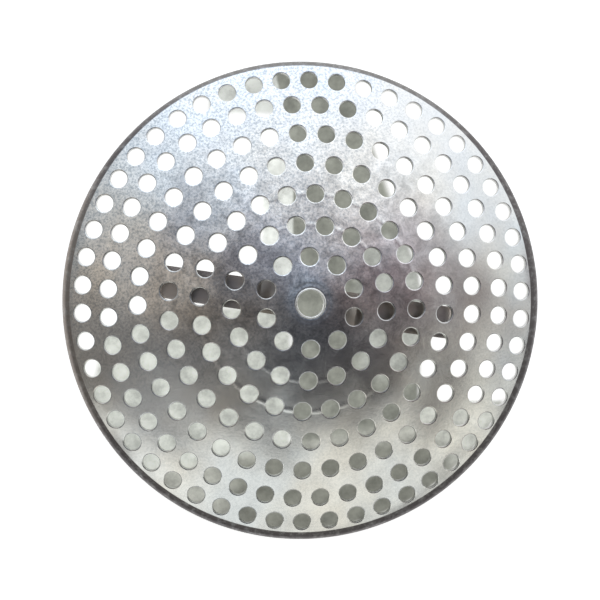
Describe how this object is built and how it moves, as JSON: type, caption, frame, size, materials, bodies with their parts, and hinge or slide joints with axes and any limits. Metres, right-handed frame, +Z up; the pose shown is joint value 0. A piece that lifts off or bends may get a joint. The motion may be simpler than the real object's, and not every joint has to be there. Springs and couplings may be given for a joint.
{
  "type": "drain protector",
  "caption": "Domed round drain cover of perforated sheet metal with a short rim and a swivelling strap below its centre.",
  "frame": {"origin": "middle of the circle of the rim's lower edge, on the surface that the cover rests on", "axes": "+Z up along the dome's axis; +X to the right and +Y to the top of the picture"},
  "size_m": [0.114, 0.114, 0.0184],
  "materials": {
    "plated_sheet": "bright mottled sheet, worn",
    "spring_sheet": "dull satin",
    "bright_rivet": "bright"
  },
  "bodies": {
    "dome": {"perforated_dome": "plated_sheet", "hollow_rivet": "bright_rivet"},
    "strap": {"spring_strap": "spring_sheet"}
  },
  "joints": [
    {"name": "strap_swivel", "type": "hinge", "parent": "dome", "child": "strap", "pos_m": [0, 0, 0.0165], "axis": [0, 0, 1], "continuous": true}
  ]
}
